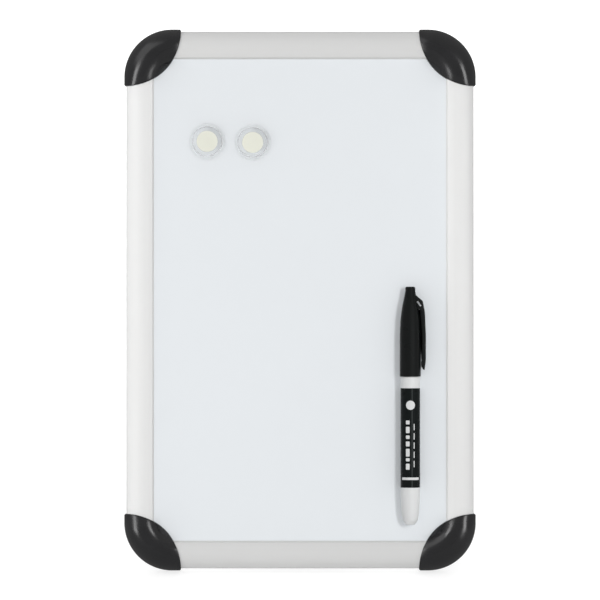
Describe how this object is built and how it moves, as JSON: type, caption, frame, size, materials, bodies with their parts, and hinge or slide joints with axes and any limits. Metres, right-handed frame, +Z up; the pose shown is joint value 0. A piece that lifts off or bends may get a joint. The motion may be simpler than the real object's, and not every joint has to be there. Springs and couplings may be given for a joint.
{
  "type": "magnetic desk whiteboard easel",
  "caption": "Small framed magnetic dry-erase board that leans on a desk on its fold-out back leg, with rounded corner caps, lift-off button magnets and a capped marker on its face.",
  "frame": {"origin": "on the desk, under the middle of the whole object's box with the leg open", "axes": "+Z up from the desk, +X to the reader's right, -Y towards the reader; the board leans back 15 degrees from +Z"},
  "size_m": [0.1984, 0.1094, 0.2978],
  "materials": {
    "rail_finish": "satin pearl-white extrusion",
    "cap_plastic": "satin graphite-black moulding",
    "writing_lacquer": "glossy white dry-erase lacquer on steel",
    "core_hardboard": "pressed hardboard",
    "backing_card": "smooth grey backing",
    "bracket_plastic": "fine-textured black moulding",
    "fastener_steel": "zinc-plated steel",
    "leg_plastic": "fine-textured black moulding",
    "foot_rubber": "soft matt rubber",
    "magnet_clear": "clear polished acrylic",
    "magnet_cream": "cream disc",
    "magnet_ferrite": "sintered ferrite",
    "marker_white": "satin white moulding",
    "marker_black": "gloss black moulding",
    "label_print": "printed black film",
    "liner_plastic": "natural moulding",
    "nib_felt": "pressed fibre, inked black",
    "reservoir_fibre": "bonded fibre"
  },
  "bodies": {
    "board": {"rail_left": "rail_finish", "rail_right": "rail_finish", "rail_top": "rail_finish", "rail_bottom": "rail_finish", "corner_cap_top_left": "cap_plastic", "corner_cap_top_right": "cap_plastic", "corner_cap_bottom_left": "cap_plastic", "corner_cap_bottom_right": "cap_plastic", "writing_sheet": "writing_lacquer", "core_board": "core_hardboard", "backing_sheet": "backing_card", "hinge_bracket": "bracket_plastic", "bracket_screws": "fastener_steel", "hinge_pin": "fastener_steel", "pin_washer": "fastener_steel"},
    "leg": {"easel_leg": "leg_plastic", "leg_foot_pad": "foot_rubber"},
    "magnet_left": {"magnet_left_housing": "magnet_clear", "magnet_left_cover": "magnet_cream", "magnet_left_disc": "magnet_ferrite"},
    "magnet_right": {"magnet_right_housing": "magnet_clear", "magnet_right_cover": "magnet_cream", "magnet_right_disc": "magnet_ferrite"},
    "marker": {"marker_barrel": "marker_white", "marker_label": "label_print", "marker_front_section": "marker_white", "marker_nib": "nib_felt", "marker_reservoir": "reservoir_fibre", "marker_magnet": "magnet_ferrite"},
    "marker_cap": {"marker_cap": "marker_black", "marker_cap_liner": "liner_plastic"}
  },
  "joints": [
    {"name": "leg_fold", "type": "hinge", "parent": "board", "child": "leg", "pos_m": [0, 0.01509, 0.19726], "axis": [-1, 0, 0], "range_deg": [0, 25]},
    {"name": "magnet_left_lift", "type": "slide", "parent": "board", "child": "magnet_left", "axis": [0, -0.9659, 0.2588], "range_m": [0, 0.04]},
    {"name": "magnet_right_lift", "type": "slide", "parent": "board", "child": "magnet_right", "axis": [0, -0.9659, 0.2588], "range_m": [0, 0.04]},
    {"name": "marker_lift", "type": "slide", "parent": "board", "child": "marker", "axis": [0, -0.9659, 0.2588], "range_m": [0, 0.05]},
    {"name": "marker_cap_pull", "type": "slide", "parent": "marker", "child": "marker_cap", "axis": [0, 0.2588, 0.9659], "range_m": [0, 0.055]}
  ]
}
